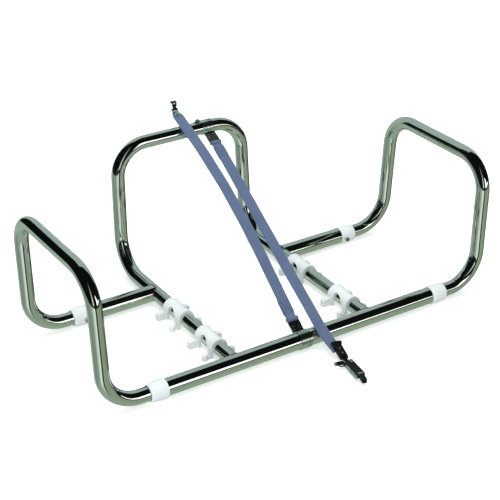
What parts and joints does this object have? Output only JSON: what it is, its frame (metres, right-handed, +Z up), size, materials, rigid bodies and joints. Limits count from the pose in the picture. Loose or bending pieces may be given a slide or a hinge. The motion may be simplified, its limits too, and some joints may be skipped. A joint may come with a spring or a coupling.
{
  "type": "canister deck cradle",
  "caption": "Low polished tube cradle with a back hoop, telescoping side hoops, white feet, and two webbing lashings with a lever quick release and a hook.",
  "frame": {"origin": "middle of the footprint, on the deck plane under the feet", "axes": "+X along the front cross tube, +Y from the front tube towards the back hoop, +Z up from the deck"},
  "size_m": [0.8128, 0.6184, 0.2992],
  "materials": {
    "polished_steel": "mirror-polished stainless steel",
    "fitting_steel": "satin stainless steel",
    "white_nylon": "smooth, slightly waxy",
    "webbing": "woven slate blue",
    "black_plastic": "satin black",
    "black_metal": "black coated steel"
  },
  "bodies": {
    "frame": {"front_tube": "polished_steel", "rear_stub_left": "polished_steel", "rear_stub_right": "polished_steel", "back_hoop": "polished_steel", "bush_front_left": "white_nylon", "bush_front_right": "white_nylon", "bush_rear_left": "white_nylon", "bush_rear_right": "white_nylon", "lock_screws_front": "fitting_steel", "lock_screws_rear": "fitting_steel", "saddle_left_front": "white_nylon", "saddle_left_rear": "white_nylon", "saddle_right_front": "white_nylon", "saddle_right_rear": "white_nylon", "clamp_front": "fitting_steel", "clamp_rear": "fitting_steel", "clamp_screws": "fitting_steel", "clamp_rivets": "fitting_steel", "strap_pin_front": "fitting_steel", "strap_pin_rear": "fitting_steel"},
    "left_hoop": {"left_hoop": "polished_steel"},
    "right_hoop": {"right_hoop": "polished_steel"},
    "front_lashing": {"front_strap": "webbing", "hook_plate": "fitting_steel", "hook_rivet": "fitting_steel", "hook_pin": "fitting_steel"},
    "hook": {"strap_hook": "black_metal"},
    "rear_lashing": {"rear_strap": "webbing", "adjuster_body": "black_plastic", "adjuster_bar": "black_metal", "adjuster_rivets": "fitting_steel", "release_pin": "fitting_steel"},
    "lever": {"release_lever": "fitting_steel", "lever_cover": "black_plastic", "lever_rivet": "fitting_steel", "lever_catch": "fitting_steel", "lever_grip": "black_plastic"},
    "ring": {"release_ring": "black_metal"}
  },
  "joints": [
    {"name": "left_hoop_slide", "type": "slide", "parent": "frame", "child": "left_hoop", "axis": [-1, 0, 0], "range_m": [-0.01, 0.07]},
    {"name": "right_hoop_slide", "type": "slide", "parent": "frame", "child": "right_hoop", "axis": [1, 0, 0], "range_m": [-0.01, 0.07]},
    {"name": "front_lashing_swing", "type": "hinge", "parent": "frame", "child": "front_lashing", "pos_m": [-0.004, -0.12355, 0.04136], "axis": [1, 0, 0], "range_deg": [0, 100]},
    {"name": "hook_swing", "type": "hinge", "parent": "front_lashing", "child": "hook", "pos_m": [0.01166, 0.2997, 0.28334], "axis": [0.9994, -0.0335, -0.0122], "range_deg": [-60, 80]},
    {"name": "rear_lashing_swing", "type": "hinge", "parent": "frame", "child": "rear_lashing", "pos_m": [0.057, 0.22591, 0.23177], "axis": [-1, 0, 0], "range_deg": [0, 100]},
    {"name": "lever_swing", "type": "hinge", "parent": "rear_lashing", "child": "lever", "pos_m": [0.02627, -0.24461, 0.0085], "axis": [-0.9877, 0.1504, 0.0431], "range_deg": [0, 110]},
    {"name": "ring_swing", "type": "hinge", "parent": "rear_lashing", "child": "ring", "pos_m": [0.02627, -0.24461, 0.0085], "axis": [-0.9877, 0.1504, 0.0431], "range_deg": [0, 220]}
  ]
}
